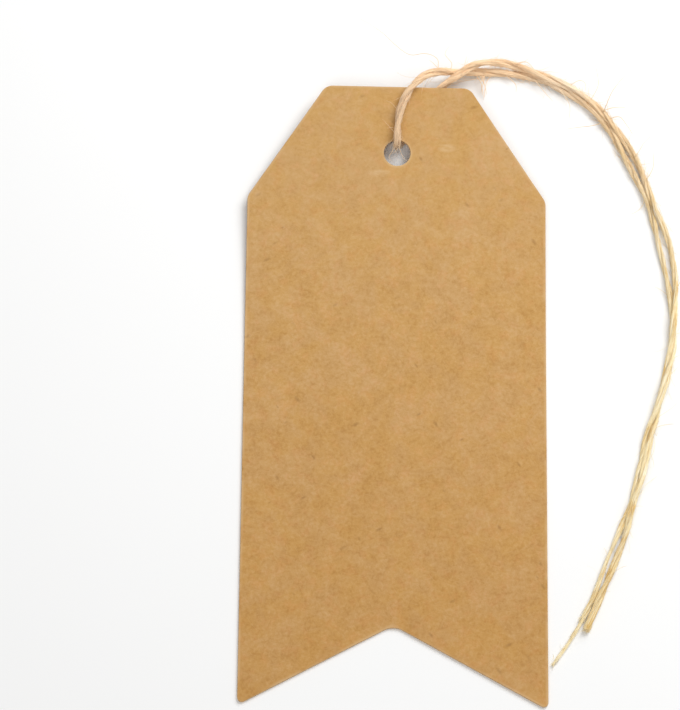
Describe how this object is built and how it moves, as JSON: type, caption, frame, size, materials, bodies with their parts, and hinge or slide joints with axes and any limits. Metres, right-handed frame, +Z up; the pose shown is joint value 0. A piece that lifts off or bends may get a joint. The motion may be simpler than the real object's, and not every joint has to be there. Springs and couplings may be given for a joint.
{
  "type": "gift tag",
  "caption": "Flat kraft card gift tag with clipped hole-end corners, a swallowtail notch at its foot and a punched hole threaded with a folded length of jute twine.",
  "frame": {"origin": "middle of the card's footprint, on the surface that the tag lies on", "axes": "+Y along the card towards its hole end, +Z up out of the card's face, +X to the right of someone who reads the face with the hole at the top"},
  "size_m": [0.0654, 0.1007, 0.005],
  "materials": {
    "kraft_card": "matt uncoated kraft card",
    "jute_twine": "loosely twisted natural jute"
  },
  "bodies": {
    "card": {"tag_card": "kraft_card"},
    "twine": {"twine_fold": "jute_twine", "twine_front_leg": "jute_twine", "twine_tail": "jute_twine", "twine_rear_leg": "jute_twine"}
  },
  "joints": [
    {"name": "twine_swing", "type": "hinge", "parent": "card", "child": "twine", "pos_m": [0, 0.03715, 0.0021], "axis": [0, 0, 1], "range_deg": [0, 45]}
  ]
}
